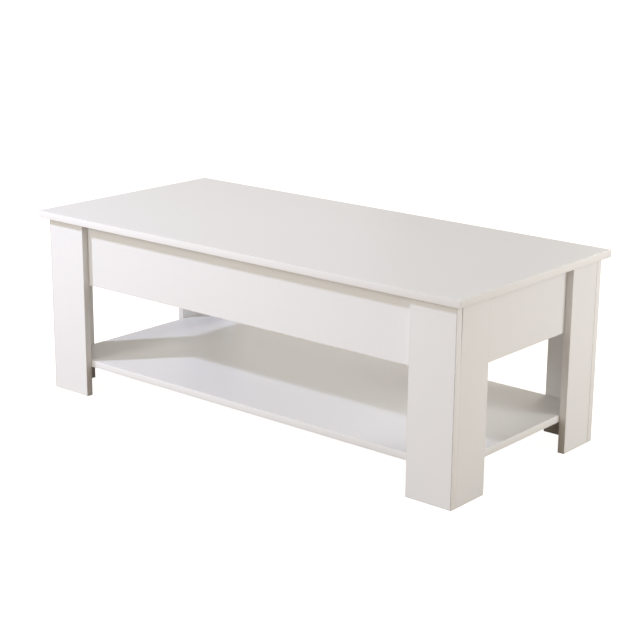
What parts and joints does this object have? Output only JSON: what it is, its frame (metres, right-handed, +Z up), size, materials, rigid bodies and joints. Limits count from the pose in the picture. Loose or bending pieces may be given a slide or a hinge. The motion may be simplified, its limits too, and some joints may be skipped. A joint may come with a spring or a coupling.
{
  "type": "lift top coffee table",
  "caption": "White rectangular coffee table with angle-shaped board legs, an open lower shelf, and a top that lifts up and forward over a storage compartment.",
  "frame": {"origin": "on the floor, under the middle of the table top", "axes": "+X along the table to the right of someone who sits at its front, +Y from front to back, +Z up"},
  "size_m": [1.1, 0.51, 0.397],
  "materials": {
    "white_board": "white melamine foil on particle board, satin, with matching edge band",
    "coated_steel": "black powder coat, satin",
    "zinc_steel": "bright zinc plated steel",
    "spring_steel": "oiled spring wire",
    "clear_rubber": "soft milky bumper pad"
  },
  "bodies": {
    "base": {"front_apron": "white_board", "rear_apron": "white_board", "compartment_floor": "white_board", "lower_shelf": "white_board", "end_apron_left": "white_board", "lift_base_plate_left": "coated_steel", "rear_base_rivet_left": "zinc_steel", "lift_spring_left": "spring_steel", "base_screw_1_left": "zinc_steel", "base_screw_2_left": "zinc_steel", "base_screw_3_left": "zinc_steel", "leg_board_front_left": "white_board", "leg_return_front_left": "white_board", "shelf_bracket_front_left": "zinc_steel", "bumper_front_left": "clear_rubber", "leg_board_rear_left": "white_board", "leg_return_rear_left": "white_board", "shelf_bracket_rear_left": "zinc_steel", "bumper_rear_left": "clear_rubber", "end_apron_right": "white_board", "lift_base_plate_right": "coated_steel", "rear_base_rivet_right": "zinc_steel", "lift_spring_right": "spring_steel", "base_screw_1_right": "zinc_steel", "base_screw_2_right": "zinc_steel", "base_screw_3_right": "zinc_steel", "leg_board_front_right": "white_board", "leg_return_front_right": "white_board", "shelf_bracket_front_right": "zinc_steel", "bumper_front_right": "clear_rubber", "leg_board_rear_right": "white_board", "leg_return_rear_right": "white_board", "shelf_bracket_rear_right": "zinc_steel", "bumper_rear_right": "clear_rubber"},
    "front_arms": {"cross_shaft": "zinc_steel", "front_arm_left": "coated_steel", "shaft_cap_left": "zinc_steel", "front_arm_right": "coated_steel", "shaft_cap_right": "zinc_steel"},
    "rear_arm_left": {"rear_arm_left": "coated_steel"},
    "rear_arm_right": {"rear_arm_right": "coated_steel"},
    "top": {"table_top": "white_board", "lift_top_plate_left": "coated_steel", "front_top_rivet_left": "zinc_steel", "rear_top_rivet_left": "zinc_steel", "top_screw_1_left": "zinc_steel", "top_screw_2_left": "zinc_steel", "top_screw_3_left": "zinc_steel", "lift_top_plate_right": "coated_steel", "front_top_rivet_right": "zinc_steel", "rear_top_rivet_right": "zinc_steel", "top_screw_1_right": "zinc_steel", "top_screw_2_right": "zinc_steel", "top_screw_3_right": "zinc_steel"}
  },
  "joints": [
    {"name": "lift", "type": "hinge", "parent": "base", "child": "front_arms", "pos_m": [0, -0.16, 0.315], "axis": [1, 0, 0], "range_deg": [0, 94], "stiffness_Nm_per_rad": 2.5, "springref_deg": 126.05},
    {"name": "rear_arm_left_turn", "type": "hinge", "parent": "base", "child": "rear_arm_left", "pos_m": [-0.4915, -0.04, 0.315], "axis": [1, 0, 0], "range_deg": [0, 94]},
    {"name": "rear_arm_right_turn", "type": "hinge", "parent": "base", "child": "rear_arm_right", "pos_m": [0.4915, -0.04, 0.315], "axis": [1, 0, 0], "range_deg": [0, 94]},
    {"name": "top_level", "type": "hinge", "parent": "front_arms", "child": "top", "pos_m": [0, 0.03146, 0.352], "axis": [1, 0, 0], "range_deg": [-94, 0]}
  ],
  "couplings": [
    {"joint": "rear_arm_left_turn", "follows": "lift", "ratio": 1},
    {"joint": "rear_arm_right_turn", "follows": "lift", "ratio": 1},
    {"joint": "top_level", "follows": "lift", "ratio": -1}
  ]
}
